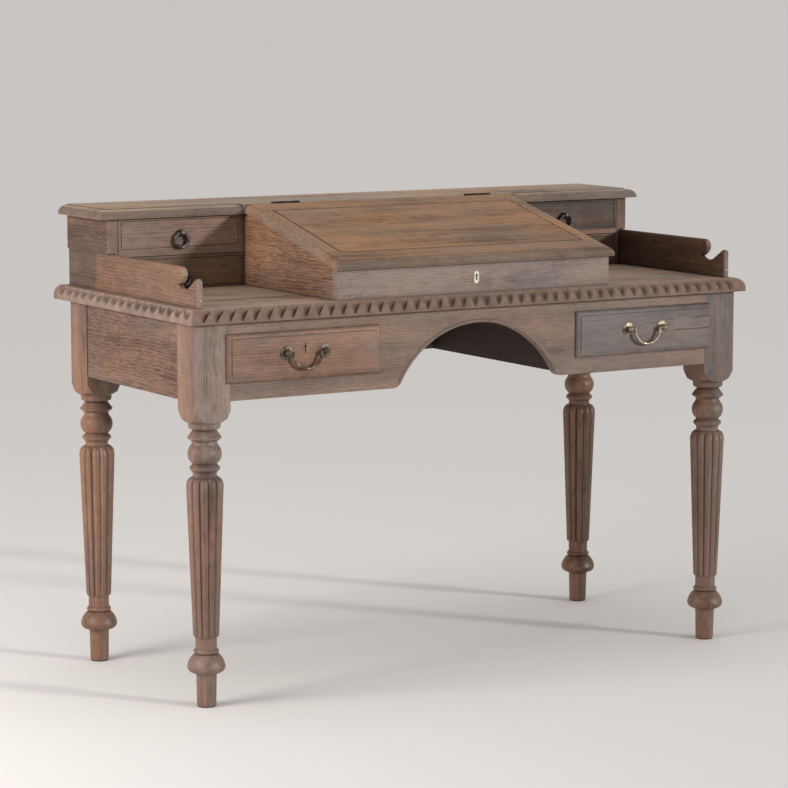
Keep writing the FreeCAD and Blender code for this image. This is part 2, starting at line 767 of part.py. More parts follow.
def build():
    """Every piece of the desk, by node name."""
    parts = {}
    leg = make_leg()
    leg_x = post_outer - post_size / 2
    leg_rows = {"front": face_front + post_size / 2, "back": face_back - post_size / 2}
    for row, y in leg_rows.items():
        for side, sign in (("left", -1), ("right", 1)):
            placed = leg.copy()
            placed.translate(Vector(sign * leg_x, y, 0))
            parts["leg_%s_%s" % (row, side)] = placed
    parts["front_apron"] = make_front_apron()
    parts["arch_bead"] = make_arch_bead()
    apron_outer = post_outer - apron_setback
    side_low = face_front + post_size
    side_high = face_back - post_size
    side_apron = box(apron_outer - apron_thickness, apron_outer, side_low, side_high, apron_foot, under_top)
    parts["back_apron"] = box(
        -post_inner, post_inner, back_apron_front, back_apron_front + apron_thickness, apron_foot, under_top
    )
    partition_inner = partition_outer - partition_thickness
    partition = box(partition_inner, partition_outer, apron_back, back_apron_front, apron_foot, under_top)
    parts["kneehole_partitions"] = Part.makeCompound([partition, mirrored(partition)])
    parts["drawer_runners"] = make_runners()
    parts["desk_top"] = make_desk_top()
    parts["case_back"] = box(-case_inner, case_inner, back_face, case_rear, top_height, case_head)
    parts["case_top"] = make_case_top()
    parts["case_shelves"] = make_shelves()
    parts["slope_front"] = make_slope_front()
    parts["slope_lock"] = make_slope_lock()
    level = top_height + slope_front_height / 2
    parts["slope_keyhole_plate"] = make_plate(0.0, level, slope_face, slope_plate_width, slope_plate_height)
    pairs = {
        "side_apron": side_apron, "gallery": make_gallery(),
        "case_end": make_case_end(), "slope_side": make_slope_side(),
    }
    for name, piece in pairs.items():
        parts[name + "_right"] = piece
        parts[name + "_left"] = mirrored(piece)
    parts["hinge_case_leaves"] = make_case_leaves()
    parts["hinge_lid_leaves"] = make_lid_leaves()
    parts.update(make_lid())

    drawer = make_front_drawer()
    inward = dict(zip(handle_places(), (1, -1)))
    drawer["handle_posts"] = Part.makeCompound([make_handle_post(x, way) for x, way in inward.items()])
    drawer["bail"] = make_bail()
    for name, piece in drawer.items():
        parts["right_drawer_" + name] = piece
        parts["left_drawer_" + name] = mirrored(piece)
    plate_level = opening_foot + opening_height / 2 + drawer_plate_rise
    plate = (-drawer_middle, plate_level, drawer_face, drawer_plate_width, drawer_plate_height)
    through = lip_thickness + apron_thickness
    hole = keyhole(-drawer_middle, plate_level, drawer_face, drawer_plate_height, through)
    parts["left_drawer_front"] = parts["left_drawer_front"].cut(plate_blank(*plate)).cut(hole)
    parts["left_drawer_keyhole_plate"] = make_plate(*plate)

    for row in small_drawers():
        front, tray = make_small_drawer(row)
        small = {"drawer_front": front, "drawer_box": tray}
        small["pull_post"] = make_pull_post(row)
        small["pull_ring"] = make_pull_ring(row)
        for name, piece in small.items():
            parts["%s_right_%s" % (row, name)] = piece
            parts["%s_left_%s" % (row, name)] = mirrored(piece)
    return parts


def main():
    os.makedirs("parts", exist_ok=True)
    parts = build()
    for name, shape in sorted(parts.items()):
        shape.exportStep("parts/%s.step" % name)
    print("%d pieces, lid slope %.2f degrees" % (len(parts), math.degrees(slope_angle)))


main()
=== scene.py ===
# %% [markdown]
# # A study table in weathered teak
# The desk stands on turned and reeded legs. It has a carved edge round its top, a sloping lid, a low case
# of small drawers and scrolled gallery ends. The solids come ready from the frame, in metres, each in its
# own place. This lesson gives them their finishes, and models what a carver, a finisher and years of use
# added.

# %% Load the frame
import bmesh
import bpy
import json
import math
from mathutils import Matrix, Vector


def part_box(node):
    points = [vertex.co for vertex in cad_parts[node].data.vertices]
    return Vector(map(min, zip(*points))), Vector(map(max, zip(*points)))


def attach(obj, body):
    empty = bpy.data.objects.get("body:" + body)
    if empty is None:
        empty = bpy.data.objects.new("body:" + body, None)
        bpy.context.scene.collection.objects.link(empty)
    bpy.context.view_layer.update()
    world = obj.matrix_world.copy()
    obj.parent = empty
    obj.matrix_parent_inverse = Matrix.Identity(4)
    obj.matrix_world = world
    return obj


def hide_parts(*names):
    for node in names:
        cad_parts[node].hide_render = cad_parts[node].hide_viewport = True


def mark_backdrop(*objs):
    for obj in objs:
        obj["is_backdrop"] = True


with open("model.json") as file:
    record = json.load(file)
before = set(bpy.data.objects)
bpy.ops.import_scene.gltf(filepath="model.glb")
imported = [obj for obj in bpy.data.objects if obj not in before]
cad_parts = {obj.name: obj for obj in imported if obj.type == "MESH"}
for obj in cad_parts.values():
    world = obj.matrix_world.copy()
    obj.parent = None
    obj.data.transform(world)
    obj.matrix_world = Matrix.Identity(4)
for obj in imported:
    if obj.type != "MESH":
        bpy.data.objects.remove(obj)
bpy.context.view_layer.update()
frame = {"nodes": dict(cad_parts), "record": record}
nodes = frame["nodes"]
MM = 0.001

# %% [markdown]
# ## Studio
# A plain pale floor runs out past the picture's upper edge, so no wall is needed and the desk can be seen
# from every side. A broad panel stands low at the left, near the desk, so the light falls off along the
# front. A low sun at the right front draws the shadow of the lid across the small drawers. A weak, wide one
# overhead lights the tops, and an even sky fills the rest.

# %% Floor, light and sky
FLOOR_RADIUS = 900.0
FLOOR_CORNERS = 96
FLOOR_TONE = (0.80, 0.775, 0.755, 1)
FLOOR_ROUGHNESS = 0.85


def make_floor():
    sheet = bmesh.new()
    bmesh.ops.create_circle(sheet, cap_ends=True, segments=FLOOR_CORNERS, radius=FLOOR_RADIUS)
    mesh = bpy.data.meshes.new("studio_floor")
    sheet.to_mesh(mesh)
    sheet.free()
    floor = bpy.data.objects.new("studio_floor", mesh)
    bpy.context.scene.collection.objects.link(floor)
    finish = bpy.data.materials.new("studio_floor")
    finish.use_nodes = True
    shader = finish.node_tree.nodes["Principled BSDF"]
    shader.inputs["Base Color"].default_value = FLOOR_TONE
    shader.inputs["Roughness"].default_value = FLOOR_ROUGHNESS
    mesh.materials.append(finish)
    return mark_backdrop(floor)


def add_sun(name, strength, colour, spread, height, side):
    """A sun above the floor by its height, and to the right of the front by its side, both in degrees."""
    lamp = bpy.data.lights.new(name, "SUN")
    lamp.energy = strength
    lamp.color = colour
    lamp.angle = math.radians(spread)
    sun = bpy.data.objects.new(name, lamp)
    sun.rotation_euler = (math.radians(90 - height), 0, math.radians(side))
    bpy.context.scene.collection.objects.link(sun)


def add_panel(name, power, colour, size, place, target):
    lamp = bpy.data.lights.new(name, "AREA")
    lamp.energy = power
    lamp.color = colour
    lamp.size = size
    panel = bpy.data.objects.new(name, lamp)
    aim = (Vector(target) - Vector(place)).to_track_quat("-Z", "Y")
    panel.matrix_world = Matrix.Translation(place) @ aim.to_matrix().to_4x4()
    bpy.context.scene.collection.objects.link(panel)


def set_sky(colour, strength, shown):
    """An even sky. Where the picture shows it, it is as pale as the far floor."""
    world = bpy.data.worlds.new("studio_sky")
    world.use_nodes = True
    tree = world.node_tree
    backdrop = tree.nodes["Background"]
    backdrop.inputs["Color"].default_value = colour
    seen = tree.nodes.new("ShaderNodeLightPath").outputs["Is Camera Ray"]
    brightness = tree.nodes.new("ShaderNodeMath")
    brightness.operation = "MULTIPLY_ADD"
    tree.links.new(seen, brightness.inputs[0])
    brightness.inputs[1].default_value = shown - strength
    brightness.inputs[2].default_value = strength
    tree.links.new(brightness.outputs[0], backdrop.inputs["Strength"])
    bpy.context.scene.world = world


make_floor()
add_panel("left_panel", power=57.0, colour=(1.0, 0.965, 0.92), size=1.3, place=(-3.0, -0.25, 1.45),
          target=(0.0, -0.1, 0.65))
add_sun("right_sun", strength=2.05, colour=(1.0, 0.975, 0.94), spread=6, height=12.8, side=35.5)
add_sun("top_sun", strength=0.60, colour=(1.0, 0.985, 0.96), spread=60, height=84, side=20)
set_sky(colour=(0.985, 0.985, 0.99, 1), strength=0.40, shown=0.57)
bpy.context.scene.view_settings.view_transform = "Standard"
print("studio ready with", len(bpy.data.lights), "lights")

# %% [markdown]
# ## Camera
# The photograph was taken with a long lens from the left front, a little above the top. Place, turn and
# lens were worked out from the desk's straight edges.

# %% Camera
LENS_MM = 137.84
SENSOR_MM = 36.0
CAMERA_PLACE = (-3.2270, -5.2848, 1.3619)
CAMERA_TURN = -31.205
CAMERA_DIP = 7.596
CAMERA_FAR = 3000.0


def make_camera():
    lens = bpy.data.cameras.new("camera")
    lens.sensor_width = SENSOR_MM
    lens.lens = LENS_MM
    lens.clip_end = CAMERA_FAR
    camera = bpy.data.objects.new("camera", lens)
    turn = Matrix.Rotation(math.radians(CAMERA_TURN), 4, "Z")
    dip = Matrix.Rotation(math.radians(90 - CAMERA_DIP), 4, "X")
    camera.matrix_world = Matrix.Translation(CAMERA_PLACE) @ turn @ dip
    bpy.context.scene.collection.objects.link(camera)
    bpy.context.scene.camera = camera
    return camera


print("camera at", [round(value, 3) for value in make_camera().matrix_world.translation])

# %% [markdown]
# ## A recipe for finishes
# Every finish is a small tree of nodes. The class below keeps one material and offers short calls for the
# nodes that the woods and the metals share, so a recipe reads like a list of layers.

# %% Recipe
SOFT_SAMPLES = 6
FACING_FROM, FACING_TO = 0.25, 0.75


class Recipe:
    """One material, built layer by layer."""

    def __init__(self, name):
        self.material = bpy.data.materials.new(name)
        self.material.use_nodes = True
        self.tree = self.material.node_tree
        self.tree.nodes.clear()
        self.shader = self.tree.nodes.new("ShaderNodeBsdfPrincipled")
        output = self.tree.nodes.new("ShaderNodeOutputMaterial")
        self.tree.links.new(self.shader.outputs[0], output.inputs[0])
        coordinates = self.tree.nodes.new("ShaderNodeTexCoord")
        self.place = coordinates.outputs["Object"]
        self.normal = coordinates.outputs["Normal"]

    def feed(self, socket, value):
        if isinstance(value, bpy.types.NodeSocket):
            self.tree.links.new(value, socket)
        else:
            socket.default_value = value

    def mapped(self, place, scale=(1, 1, 1), turn=(0, 0, 0), shift=(0, 0, 0)):
        node = self.tree.nodes.new("ShaderNodeMapping")
        self.feed(node.inputs["Vector"], place)
        node.inputs["Scale"].default_value = scale
        node.inputs["Rotation"].default_value = [math.radians(angle) for angle in turn]
        node.inputs["Location"].default_value = shift
        return node.outputs[0]

    def noise(self, place, scale=1.0, detail=3.0, rough=0.55, output="Fac"):
        node = self.tree.nodes.new("ShaderNodeTexNoise")
        self.feed(node.inputs["Vector"], place)
        node.inputs["Scale"].default_value = scale
        node.inputs["Detail"].default_value = detail
        node.inputs["Roughness"].default_value = rough
        return node.outputs[output]

    def rings(self, place, scale, twist, detail, detail_scale):
        node = self.tree.nodes.new("ShaderNodeTexWave")
        node.wave_type = "RINGS"
        node.rings_direction = "X"
        node.wave_profile = "SAW"
        self.feed(node.inputs["Vector"], place)
        node.inputs["Scale"].default_value = scale
        node.inputs["Distortion"].default_value = twist
        node.inputs["Detail"].default_value = detail
        node.inputs["Detail Scale"].default_value = detail_scale
        return node.outputs["Fac"]

    def compute(self, operation, first, second=0.0, clamp=False):
        node = self.tree.nodes.new("ShaderNodeMath")
        node.operation = operation
        node.use_clamp = clamp
        self.feed(node.inputs[0], first)
        self.feed(node.inputs[1], second)
        return node.outputs[0]

    def times(self, value, share, clamp=False):
        return self.compute("MULTIPLY", value, share, clamp)

    def weighed(self, first, *others):
        """The sum of some values, each given with its share."""
        total = self.times(*first)
        for value, share in others:
            total = self.compute("ADD", total, self.times(value, share))
        return total

    def span(self, value, low, high, to_low=0.0, to_high=1.0):
        """Maps one range of values onto another, with a soft start and end."""
        node = self.tree.nodes.new("ShaderNodeMapRange")
        node.interpolation_type = "SMOOTHSTEP"
        self.feed(node.inputs["Value"], value)
        limits = {"From Min": low, "From Max": high, "To Min": to_low, "To Max": to_high}
        for name, limit in limits.items():
            node.inputs[name].default_value = limit
        return node.outputs[0]

    def ramp(self, factor, stops):
        node = self.tree.nodes.new("ShaderNodeValToRGB")
        self.feed(node.inputs[0], factor)
        band = node.color_ramp
        while len(band.elements) < len(stops):
            band.elements.new(0.5)
        for element, (position, colour) in zip(band.elements, stops):
            element.position = position
            element.color = (*colour, 1)
        return node.outputs[0]

    def blend(self, factor, first, second, mode="MIX"):
        """Mixes two colours. They are inputs 6 and 7 of a Mix node, and the result is its output 2."""
        node = self.tree.nodes.new("ShaderNodeMix")
        node.data_type = "RGBA"
        node.blend_type = mode
        self.feed(node.inputs[0], factor)
        for socket, value in ((node.inputs[6], first), (node.inputs[7], second)):
            if isinstance(value, tuple):
                value = (*value, 1)
            self.feed(socket, value)
        return node.outputs[2]

    def moved(self, place, colour, reach):
        """Shifts a place by a noise's colour, so straight grain turns wavy."""
        middle = self.tree.nodes.new("ShaderNodeVectorMath")
        middle.operation = "SUBTRACT"
        self.feed(middle.inputs[0], colour)
        middle.inputs[1].default_value = (0.5, 0.5, 0.5)
        shifted = self.tree.nodes.new("ShaderNodeVectorMath")
        shifted.operation = "MULTIPLY_ADD"
        self.feed(shifted.inputs[0], middle.outputs[0])
        shifted.inputs[1].default_value = reach
        self.feed(shifted.inputs[2], place)
        return shifted.outputs[0]

    def part_of(self, place, axis):
        node = self.tree.nodes.new("ShaderNodeSeparateXYZ")
        self.feed(node.inputs[0], place)
        return node.outputs[axis]

    def facing(self, axis, sign):
        """1 on faces that look along one of the piece's own axes, 0 on all others."""
        lean = self.times(self.part_of(self.normal, axis), sign)
        return self.span(lean, FACING_FROM, FACING_TO)

    def edges(self, radius):
        """0 on flat ground, towards 1 along worn corners, where a rounded normal leans from the true one."""
        rounded = self.tree.nodes.new("ShaderNodeBevel")
        rounded.samples = SOFT_SAMPLES
        rounded.inputs["Radius"].default_value = radius
        true = self.tree.nodes.new("ShaderNodeNewGeometry")
        lean = self.tree.nodes.new("ShaderNodeVectorMath")
        lean.operation = "DOT_PRODUCT"
        self.feed(lean.inputs[0], rounded.outputs[0])
        self.feed(lean.inputs[1], true.outputs["Normal"])
        return self.compute("SUBTRACT", 1.0, lean.outputs["Value"], clamp=True)

    def hollows(self, reach):
        """1 in the open, towards 0 deep in a corner. Woods use it for dust and painted shade, metals and
        bone for grime.
        """
        node = self.tree.nodes.new("ShaderNodeAmbientOcclusion")
        node.samples = SOFT_SAMPLES
        node.inputs["Distance"].default_value = reach
        return node.outputs["AO"]

    def attribute(self, name):
        node = self.tree.nodes.new("ShaderNodeAttribute")
        node.attribute_name = name
        return node.outputs["Fac"]

    def bump(self, height, strength, depth):
        node = self.tree.nodes.new("ShaderNodeBump")
        self.feed(node.inputs["Height"], height)
        node.inputs["Strength"].default_value = strength
        node.inputs["Distance"].default_value = depth
        self.feed(self.shader.inputs["Normal"], node.outputs[0])


print("recipe ready")

# %% [markdown]
# ## The grain of one board
# Teak shows several things at once: slow growth rings, broad bands, streaks a hand long, and fibres as fine
# as hair with dark pores between them. Each is a noise that is stretched along the board, and the seed
# gives every board its own part of the tree. Bloom, mottle and cloud are the patches that weather leaves.

# %% Grain
GRAIN_TURN = {"x": (0, 0, 0), "y": (0, 0, -90), "z": (0, 90, 0)}
FIGURE_SPREAD = 0.34


class Grain:
    """The noises of one board, from which its figure, its fibres and its stains are mixed."""

    def __init__(self, wood, along, seed):
        shift = (seed * 1.37 % 2.0, 0.11 + seed * 0.173 % 0.4, 0.19 + seed * 0.311 % 0.3)
        board = wood.mapped(wood.place, turn=GRAIN_TURN[along], shift=shift)
        sway = wood.noise(wood.mapped(board, (1.6, 9.0, 9.0)), output="Color")
        wavy = wood.moved(board, sway, reach=(0.0, 0.034, 0.034))
        slow = wood.mapped(wavy, (0.10, 1.0, 1.0))
        self.ring = wood.rings(slow, scale=58.0, twist=3.5, detail=4.0, detail_scale=1.2)
        self.streak = wood.noise(wood.mapped(wavy, (7.0, 150.0, 150.0)), detail=6.0, rough=0.66)
        self.band = wood.noise(wood.mapped(wavy, (1.5, 22.0, 22.0)), detail=4.0)
        self.fibre = wood.noise(wood.mapped(wavy, (34.0, 470.0, 470.0)), detail=5.0, rough=0.70)
        dots = wood.noise(wood.mapped(wavy, (36.0, 520.0, 520.0)), detail=2.0)
        self.pore = wood.span(dots, 0.57, 0.68)
        self.bloom = wood.noise(wood.mapped(board, (3.4, 8.0, 8.0)), detail=5.0, rough=0.65)
        self.mottle = wood.noise(board, 34.0, detail=5.0, rough=0.62)
        apart = wood.mapped(board, (3.0, 7.0, 7.0), shift=(3.1, 1.7, 0.4))
        self.cloud = wood.noise(apart, detail=4.0, rough=0.6)

    def figure(self, wood, rings, grain):
        """Dark to light wood, from 0 to 1: the noises in their shares, spread about their mean."""
        total = wood.weighed((self.ring, rings * 0.40), (self.band, 0.8), (self.streak, 0.45 * grain),
                             (self.bloom, 0.45), (self.mottle, 0.35))
        middle = rings * 0.20 + 0.80 + 0.225 * grain
        return wood.span(total, middle - FIGURE_SPREAD, middle + FIGURE_SPREAD)


print("grain ready along", ", ".join(GRAIN_TURN))

# %% [markdown]
# ## What weather and use do
# Old teak that has lost its polish is warm in one place and cool in the next, and silver where light and
# washing have bleached it. Corners are rubbed pale, and pores keep dirt. Hollows and corners are darkened
# with dust and painted shade. A board that dried too fast has cracks, which a joiner calls checks. Each
# function below lays one of these over the colour so far.

# %% Weather
HEARTWOOD = (0.075, 0.030, 0.012)
SAPWOOD = (0.36, 0.23, 0.14)
WARM = (1.17, 1.03, 0.88)
COOL = (0.87, 0.92, 0.99)
FIBRE_SHADE = (0.54, 0.47, 0.44)
BLEACHED = (0.205, 0.175, 0.158)
RUBBED = (0.30, 0.262, 0.235)
RUB_RADIUS = 0.004
# Dust and painted shade: within each reach, corners and hollows are darkened by ambient occlusion, up to
# this share.
DUST_AND_SHADE_LAYERS = ((0.016, 0.72), (0.005, 0.80))
STAIN_WAVER = 0.05
CHECK_WAVER = 0.016
CHECK_FADE = 0.03
CARVED_END = (0.230, 0.166, 0.138)
CARVED_FRONT = (0.150, 0.095, 0.073)
# The colour below is painted shade for the deep parts of the carved hollows.
CARVED_PAINTED_SHADE = (0.034, 0.018, 0.011)
FRONT = (1, -1)
LEFT = (0, -1)


def mixed(colour, other, share):
    return tuple(a + (b - a) * share for a, b in zip(colour, other))


def scaled(colour, factor):
    return tuple(channel * factor for channel in colour)


def aged(wood, figure, tone):
    """One tone spread over the figure, from heartwood to sapwood."""
    dark = scaled(mixed(tone, HEARTWOOD, 0.40), 0.52)
    light = scaled(mixed(tone, SAPWOOD, 0.20), 1.20)
    return wood.ramp(figure, [(0.0, dark), (0.38, scaled(tone, 0.86)), (0.66, tone), (1.0, light)])


def toned(wood, layer, figure, tone, stain, sides):
    """The board's tone, with another past a stain's line, on the front apron a band of painted light, and on
    the sides that have their own.
    """
    colour = aged(wood, figure, tone)
    if stain:
        axis, start, end, depth, other = stain
        reach = wood.compute("ADD", wood.part_of(wood.place, axis), wood.times(layer.bloom, STAIN_WAVER))
        colour = wood.blend(wood.span(reach, start, end, 0.0, depth), colour, aged(wood, figure, other))
    for axis, sign, other, depth in sides:
        mask = wood.times(wood.facing(axis, sign), depth)
        colour = wood.blend(mask, colour, aged(wood, figure, other))
    return colour


def weathered(wood, layer, colour, tone, silver, grain):
    """Warm and cool patches, dark fibres, and silver where the wood is bleached."""
    warm = wood.blend(1.0, colour, WARM, "MULTIPLY")
    cool = wood.blend(1.0, colour, COOL, "MULTIPLY")
    colour = wood.blend(wood.span(layer.cloud, 0.34, 0.66), warm, cool)
    shade = wood.blend(1.0, colour, FIBRE_SHADE, "MULTIPLY")
    colour = wood.blend(wood.span(layer.fibre, 0.40, 0.66, 0.0, 0.90 * grain), colour, shade)
    patches = wood.times(wood.span(layer.bloom, 0.36, 0.68), wood.span(layer.streak, 0.30, 0.62))
    return wood.blend(wood.times(patches, silver * 1.6, clamp=True), colour, mixed(BLEACHED, tone, 0.25))


def handled_with_painted_shade(wood, layer, colour, tone, dirt_and_shade_tone, grain, worn, dust):
    """Dirt in the pores, pale corners where hands rub, and dust and painted shade in hollows and corners."""
    colour = wood.blend(wood.times(layer.pore, 0.62 * grain), colour, dirt_and_shade_tone)
    corners = wood.span(wood.edges(RUB_RADIUS), 0.02, 0.30)
    rub = wood.times(corners, wood.span(layer.bloom, 0.25, 0.60, 0.25, 0.85))
    rubbed = mixed(scaled(tone, 1.22), RUBBED, 0.62)
    colour = wood.blend(wood.times(rub, 0.75 * worn), colour, rubbed)
    # Painted shade, with dust: the nearer a corner, the darker the wood is painted.
    for reach, depth in DUST_AND_SHADE_LAYERS:
        dust_and_shade_mask = wood.span(wood.hollows(reach), 0.32, 0.86, depth * dust, 0.0)
        colour = wood.blend(dust_and_shade_mask, colour, dirt_and_shade_tone)
    return colour


def checked(wood, layer, colour, relief, dirt_and_shade_tone, checks):
    """Cracks that run in from the right, each a dark line and a dent."""
    for start, height, width in checks:
        level = wood.compute("ADD", wood.part_of(wood.place, 2), wood.times(layer.band, CHECK_WAVER))
        away = wood.compute("ABSOLUTE", wood.compute("SUBTRACT", level, height))
        slit = wood.span(away, width * 0.4, width, 1.0, 0.0)
        slit = wood.times(slit, wood.span(wood.part_of(wood.place, 0), start, start + CHECK_FADE))
        colour = wood.blend(slit, colour, dirt_and_shade_tone)
        relief = wood.compute("SUBTRACT", relief, wood.times(slit, 2.0))
    return colour, relief


def carved_over(wood, layer, colour):
    """The carved round's own brown, darker on the front than at the ends, with painted shade darkest in the
    hollows.
    """
    carve = wood.attribute("carve")
    tone = wood.blend(wood.facing(*FRONT), CARVED_END, CARVED_FRONT)
    uneven = wood.ramp(layer.mottle, [(0.36, (0.78, 0.75, 0.72)), (0.64, (1.24, 1.18, 1.14))])
    tone = wood.blend(1.0, tone, uneven, "MULTIPLY")
    colour = wood.blend(wood.span(carve, 0.0, 0.25, 0.0, 0.85), colour, tone)
    # Painted shade: the deeper a point lies in a hollow, the darker it is painted.
    return wood.blend(wood.span(carve, 0.42, 0.98, 0.0, 0.68), colour, CARVED_PAINTED_SHADE)


print("tones, weather, handling, checks and carving ready")

# %% [markdown]
# ## Weathered teak
# One call now makes a board's whole finish. The relief for the light comes from the same fibres, streaks
# and pores as the colour, so what looks like a pore also catches the light like one.

# %% Teak
# The dark colour below serves dirt in pores and cracks, and painted shade in hollows and corners.
SOIL_AND_SHADE = (0.06, 0.032, 0.018)
TEAK_SPECULAR = 0.38
TEAK_RELIEF = 0.40
RELIEF_DEPTH = 0.0007


def teak(name, along, tone, seed, silver=0.3, rings=0.4, grain=1.0, sheen=0.0, worn=1.0, dust=1.0,
         carved=False, stain=None, sides=(), checks=()):
    """Teak with its grain along one axis. tone is the mean colour, silver the share of grey bloom."""
    wood = Recipe(name)
    layer = Grain(wood, along, seed)
    dirt_and_shade_tone = scaled(mixed(tone, SOIL_AND_SHADE, 0.6), 0.22)
    colour = toned(wood, layer, layer.figure(wood, rings, grain), tone, stain, sides)
    colour = weathered(wood, layer, colour, tone, silver, grain)
    colour = handled_with_painted_shade(wood, layer, colour, tone, dirt_and_shade_tone, grain, worn, dust)
    relief = wood.compute("ADD", layer.fibre, wood.times(layer.streak, 1.6))
    relief = wood.compute("SUBTRACT", relief, wood.times(layer.pore, 0.9))
    colour, relief = checked(wood, layer, colour, relief, dirt_and_shade_tone, checks)
    if carved:
        colour = carved_over(wood, layer, colour)
    wood.feed(wood.shader.inputs["Base Color"], colour)
    rough = wood.span(layer.streak, 0.30, 0.70, 0.50 - sheen, 0.68 - sheen)
    wood.feed(wood.shader.inputs["Roughness"], rough)
    wood.shader.inputs["Specular IOR Level"].default_value = TEAK_SPECULAR
    wood.bump(relief, TEAK_RELIEF * grain, RELIEF_DEPTH)
    return wood.material


print("teak ready")

# %% [markdown]
# ## Metals and bone
# The bails are cast brass gone dull, the rings and hinges are dark iron. Dull metal is mostly patches,
# bright and brown, with rubbed edges and grime in the corners. The keyhole plate on the slope is bone, with
# dark stains.

# %% Brass, iron and bone
METAL_RUB = 0.5
BONE_STOPS = [(0.30, (0.42, 0.35, 0.25)), (0.55, (0.70, 0.66, 0.57)), (0.80, (0.80, 0.77, 0.70))]
BONE_GRIME = (0.03, 0.022, 0.016)


def dull_metal(name, bright, dull, rough, seed):
    metal = Recipe(name)
    place = metal.mapped(metal.place, shift=(seed * 0.37, seed * 0.71, seed * 0.13))
    cloud = metal.noise(place, 95.0, detail=5.0, rough=0.65)
    fine = metal.noise(place, 900.0)
    patch = metal.span(cloud, 0.36, 0.62)
    colour = metal.blend(patch, bright, dull)
    shine = metal.times(metal.span(metal.edges(0.0025), 0.02, 0.25), METAL_RUB)
    colour = metal.blend(shine, colour, scaled(bright, 1.35))
    grime = metal.span(metal.hollows(0.006), 0.25, 0.80, 0.85, 0.0)
    colour = metal.blend(grime, colour, scaled(dull, 0.25))
    metal.feed(metal.shader.inputs["Base Color"], colour)
    metal.shader.inputs["Metallic"].default_value = 1.0
    metal.feed(metal.shader.inputs["Roughness"], metal.span(patch, 0.0, 1.0, rough, rough + 0.22))
    metal.bump(metal.compute("ADD", metal.times(cloud, 2.0), fine), 0.30, 0.0004)
    return metal.material


def bone(name):
    inlay = Recipe(name)
    stain = inlay.noise(inlay.mapped(inlay.place, (120, 120, 260)), detail=4.0)
    grime = inlay.span(inlay.hollows(0.005), 0.55, 0.92, 0.92, 0.0)
    colour = inlay.blend(grime, inlay.ramp(stain, BONE_STOPS), BONE_GRIME)
    inlay.feed(inlay.shader.inputs["Base Color"], colour)
    inlay.shader.inputs["Roughness"].default_value = 0.42
    inlay.bump(stain, 0.2, 0.0003)
    return inlay.material


brass_grey = dull_metal("brass_grey", (0.235, 0.190, 0.145), (0.110, 0.084, 0.064), 0.50, 1)
brass_bright = dull_metal("brass_bright", (0.46, 0.395, 0.300), (0.24, 0.195, 0.140), 0.36, 2)
brass_dull = dull_metal("brass_dull", (0.330, 0.280, 0.210), (0.155, 0.124, 0.090), 0.48, 7)
brass_brown = dull_metal("brass_brown", (0.26, 0.190, 0.125), (0.13, 0.088, 0.058), 0.50, 4)
iron_black = dull_metal("iron_black", (0.050, 0.042, 0.036), (0.024, 0.019, 0.016), 0.60, 6)
iron_grey = dull_metal("iron_grey", (0.175, 0.165, 0.155), (0.080, 0.072, 0.066), 0.56, 3)
print("four brasses and two irons ready")

# %% [markdown]
# ## A tone for every board
# Each board is given its tone from the photograph: tan on top, redder at the left, silver on the
# fronts. Grain runs the long way of a board, and up a leg. A side has an axis, a sign, a tone and a share.
# A stain has an axis, the places where it starts and is full, its share and its tone. On the front apron
# it is a band of painted light under the top's overhang. A check has its start, height and width.

# %% Boards
TAN = (0.322, 0.194, 0.112)
SILVER = (0.285, 0.215, 0.186)
PALE = (0.430, 0.316, 0.245)
SAND = (0.468, 0.350, 0.260)
RED = (0.240, 0.145, 0.103)
GINGER = (0.320, 0.184, 0.116)
ORANGE = (0.208, 0.117, 0.077)
COPPER = (0.278, 0.152, 0.102)
BROWN = (0.208, 0.131, 0.097)
NUT = (0.172, 0.105, 0.068)
FAWN = (0.252, 0.174, 0.138)
DUN = (0.118, 0.080, 0.063)
UMBER = (0.128, 0.069, 0.045)
# A near-black tone, painted shade for the right gallery.
RUSSET = (0.100, 0.049, 0.026)
# Painted shade: a dark tone for boards that lie in shade, the kneehole's inside, the back apron's inner face
# and the upper right drawer front.
PAINTED_SHADE = (0.098, 0.056, 0.038)
GREY = (0.285, 0.214, 0.181)
APRON = (0.200, 0.138, 0.110)
ASH = (0.140, 0.119, 0.117)
BARE = (0.330, 0.235, 0.150)
DEEP = (0.195, 0.114, 0.083)
RIM = (0.165, 0.118, 0.094)
LID = dict(tone=TAN, rings=0.3, grain=0.6, sheen=-0.10)
SMALL_FRONT = dict(along="x", grain=0.55)
# Legs, and the desk top below, get a smaller share of dust and painted shade in their corners.
LEG = dict(along="z", rings=0.3, grain=0.55, sheen=0.14, dust=0.55, sides=((*LEFT, COPPER, 0.8),))
SHAFT_START, SHAFT_FULL = 0.548, 0.455

